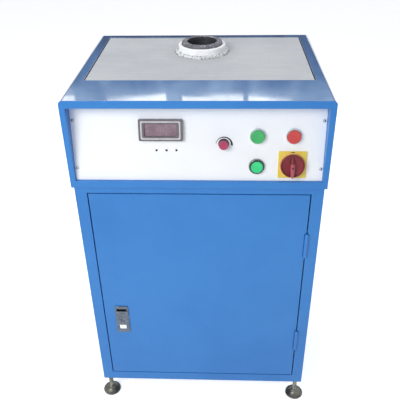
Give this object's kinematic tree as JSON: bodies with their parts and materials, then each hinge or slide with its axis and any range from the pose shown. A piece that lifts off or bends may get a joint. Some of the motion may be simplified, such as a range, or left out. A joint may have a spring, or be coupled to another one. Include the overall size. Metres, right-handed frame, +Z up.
{
  "type": "electric gold melting furnace",
  "caption": "Floor-standing induction melting furnace: sheet-steel cabinet with a hinged door, control head with panel, and a graphite crucible set in the top.",
  "frame": {"origin": "on the floor, under the middle of the furnace's outline", "axes": "+Z up, front faces -Y, +X to the right as seen from the front"},
  "size_m": [0.59, 0.5226, 0.951],
  "materials": {
    "blue_paint": "blue powder coat with a light orange peel",
    "mirror_stainless": "mirror polished stainless sheet",
    "zinc_plate": "bright zinc plated sheet",
    "dark_zinc": "dark zinc plated steel",
    "latch_chrome": "satin chromed zinc casting",
    "button_chrome": "bright chrome",
    "board_grey": "fibre cement board with a faint weave",
    "panel_white": "white satin plate",
    "meter_grey": "grey brown moulding",
    "meter_glass": "smoked filter pane",
    "black_plastic": "black moulding",
    "pot_steel": "pressed steel can",
    "knob_magenta": "magenta cap",
    "ring_light": "light grey ring",
    "start_green": "green cap",
    "stop_red": "red cap",
    "lit_green": "lit green lens",
    "plate_yellow": "yellow plate",
    "handle_red": "dark red handle",
    "graphite": "turned graphite",
    "white_fibre": "white ceramic fibre",
    "refractory": "fired refractory",
    "copper": "bare copper tube",
    "core_dark": "dark lacquered core and cans",
    "finned_aluminium": "extruded aluminium",
    "board_green": "green circuit board",
    "switch_cream": "cream moulding",
    "hose_red": "red rubber hose",
    "fitting_brass": "turned brass"
  },
  "bodies": {
    "root": {"face_frame": "blue_paint", "left_side_panel": "blue_paint", "right_side_panel": "blue_paint", "floor_plate": "zinc_plate", "deck_plate": "zinc_plate", "rear_cover": "blue_paint", "rear_cover_screws": "dark_zinc", "foot_nuts": "dark_zinc", "hinge_lower_halves": "blue_paint", "hinge_pins": "zinc_plate", "head_front_frame": "blue_paint", "head_left_panel": "blue_paint", "head_right_panel": "blue_paint", "head_back_panel": "blue_paint", "top_frame": "mirror_stainless", "board_ledge": "zinc_plate", "insulation_board": "board_grey", "control_panel": "panel_white", "panel_screws": "dark_zinc", "meter_bezel": "meter_grey", "meter_window": "meter_glass", "indicator_lamps": "black_plastic", "potentiometer": "pot_steel", "button_rings": "ring_light", "switch_bodies": "black_plastic", "isolator_plate": "plate_yellow", "fibre_collar": "white_fibre", "fibre_packing": "white_fibre", "refractory_liner": "refractory", "base_brick": "refractory", "coil_posts": "refractory", "induction_coil": "copper", "output_transformer": "core_dark", "capacitor_bank": "core_dark", "mounting_plate": "zinc_plate", "heat_sink": "finned_aluminium", "control_board": "board_green", "contactor": "switch_cream", "fan_frame": "black_plastic", "water_hoses": "hose_red", "water_fittings": "fitting_brass", "cable_gland": "black_plastic"},
    "door": {"door_panel": "blue_paint", "hinge_upper_halves": "blue_paint", "latch_housing": "latch_chrome"},
    "paddle": {"latch_paddle": "latch_chrome"},
    "latch_push": {"latch_push_button": "button_chrome"},
    "key": {"latch_key_cylinder": "latch_chrome"},
    "tongue": {"latch_tongue": "latch_chrome"},
    "start": {"start_button": "start_green"},
    "stop": {"stop_button": "stop_red"},
    "lit": {"lit_button": "lit_green"},
    "knob": {"power_knob": "knob_magenta"},
    "isolator": {"isolator_handle": "handle_red"},
    "crucible": {"crucible": "graphite"},
    "fan": {"fan_rotor": "black_plastic"},
    "foot_fl": {"foot_front_left": "dark_zinc"},
    "foot_fr": {"foot_front_right": "dark_zinc"},
    "foot_rl": {"foot_rear_left": "dark_zinc"},
    "foot_rr": {"foot_rear_right": "dark_zinc"}
  },
  "joints": [
    {"name": "door_hinge", "type": "hinge", "parent": "root", "child": "door", "pos_m": [0.25625, -0.24572, 0.39], "axis": [0, 0, 1], "range_deg": [0, 120]},
    {"name": "paddle_hinge", "type": "hinge", "parent": "door", "child": "paddle", "pos_m": [-0.2095, -0.24522, 0.32675], "axis": [-1, 0, 0], "range_deg": [0, 40]},
    {"name": "latch_push", "type": "slide", "parent": "door", "child": "latch_push", "axis": [0, 1, 0], "range_m": [0, 0.003], "stiffness_N_per_m": 300, "springref_m": -0.002},
    {"name": "key_turn", "type": "hinge", "parent": "door", "child": "key", "pos_m": [-0.2095, -0.24422, 0.29675], "axis": [0, 1, 0], "range_deg": [0, 90]},
    {"name": "tongue_slide", "type": "slide", "parent": "door", "child": "tongue", "axis": [1, 0, 0], "range_m": [0, 0.009]},
    {"name": "start_press", "type": "slide", "parent": "root", "child": "start", "axis": [0, 0.9903, -0.1392], "range_m": [0, 0.0035], "stiffness_N_per_m": 400, "springref_m": -0.002},
    {"name": "stop_press", "type": "slide", "parent": "root", "child": "stop", "axis": [0, 0.9903, -0.1392], "range_m": [0, 0.0035], "stiffness_N_per_m": 400, "springref_m": -0.002},
    {"name": "lit_press", "type": "slide", "parent": "root", "child": "lit", "axis": [0, 0.9903, -0.1392], "range_m": [0, 0.0035], "stiffness_N_per_m": 400, "springref_m": -0.002},
    {"name": "power_turn", "type": "hinge", "parent": "root", "child": "knob", "pos_m": [0.057, -0.23011, 0.81815], "axis": [0, -0.9903, 0.1392], "range_deg": [-150, 150]},
    {"name": "isolator_turn", "type": "hinge", "parent": "root", "child": "isolator", "pos_m": [0.2085, -0.23672, 0.77112], "axis": [0, -0.9903, 0.1392], "range_deg": [0, 90]},
    {"name": "crucible_lift", "type": "slide", "parent": "root", "child": "crucible", "axis": [0, 0, 1], "range_m": [0, 0.2]},
    {"name": "fan_spin", "type": "hinge", "parent": "root", "child": "fan", "pos_m": [-0.14, 0.20578, 0.505], "axis": [0, 1, 0], "continuous": true},
    {"name": "foot_front_left_screw", "type": "slide", "parent": "root", "child": "foot_fl", "axis": [0, 0, 1], "range_m": [-0.02, 0.03]},
    {"name": "foot_front_right_screw", "type": "slide", "parent": "root", "child": "foot_fr", "axis": [0, 0, 1], "range_m": [-0.02, 0.03]},
    {"name": "foot_rear_left_screw", "type": "slide", "parent": "root", "child": "foot_rl", "axis": [0, 0, 1], "range_m": [-0.02, 0.03]},
    {"name": "foot_rear_right_screw", "type": "slide", "parent": "root", "child": "foot_rr", "axis": [0, 0, 1], "range_m": [-0.02, 0.03]}
  ],
  "couplings": [
    {"joint": "tongue_slide", "follows": "paddle_hinge", "m_per_rad": 0.0128}
  ]
}
